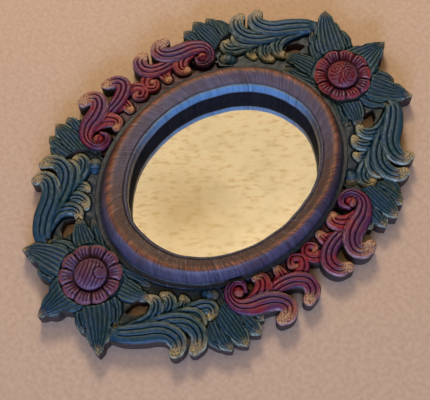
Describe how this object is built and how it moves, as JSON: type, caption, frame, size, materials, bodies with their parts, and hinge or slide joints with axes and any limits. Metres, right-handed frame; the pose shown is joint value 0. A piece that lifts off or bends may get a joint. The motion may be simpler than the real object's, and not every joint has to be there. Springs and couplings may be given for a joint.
{
  "type": "carved wall mirror",
  "caption": "Oval wall mirror in a pierced, hand-carved and painted wooden border of scrolls, leaves and rosettes, hung from a swinging ring in a pocket in its back.",
  "frame": {"origin": "on the flat back, under the middle of the outline", "axes": "+Z out of the mirror's face, +Y towards the top edge, +X to the right as seen from the front"},
  "size_m": [0.283, 0.397, 0.031],
  "materials": {
    "ring_paint": "brushed stain, satin",
    "teal_paint": "painted, dry-brushed gold edges",
    "crimson_paint": "painted, dry-brushed gold edges",
    "plum_paint": "painted, dry-brushed gold edges",
    "glass": "polished",
    "silvering": "silvered",
    "backing": "plain board",
    "steel": "zinc plated",
    "brass": "satin"
  },
  "bodies": {
    "mirror": {"oval_ring": "ring_paint", "top_rosette": "crimson_paint", "bottom_rosette": "plum_paint", "top_leaf_spray": "teal_paint", "bottom_leaf_spray": "teal_paint", "acanthus_upper_right": "teal_paint", "acanthus_upper_left": "teal_paint", "acanthus_lower_left": "teal_paint", "acanthus_lower_right": "teal_paint", "fan_leaf_upper_right": "teal_paint", "fan_leaf_upper_left": "teal_paint", "fan_leaf_lower_left": "teal_paint", "fan_leaf_lower_right": "teal_paint", "red_scroll_upper_right": "crimson_paint", "red_scroll_upper_left": "crimson_paint", "red_scroll_lower_left": "crimson_paint", "red_scroll_lower_right": "crimson_paint", "mirror_glass": "glass", "silvering": "silvering", "backing_board": "backing", "brads": "steel", "hanger_strap": "brass", "hanger_screws": "steel"},
    "hanger": {"hanging_ring": "brass"}
  },
  "joints": [
    {"name": "ring_swing", "type": "hinge", "parent": "mirror", "child": "hanger", "pos_m": [0, 0.1495, 0.00215], "axis": [-1, 0, 0], "range_deg": [0, 165]}
  ]
}
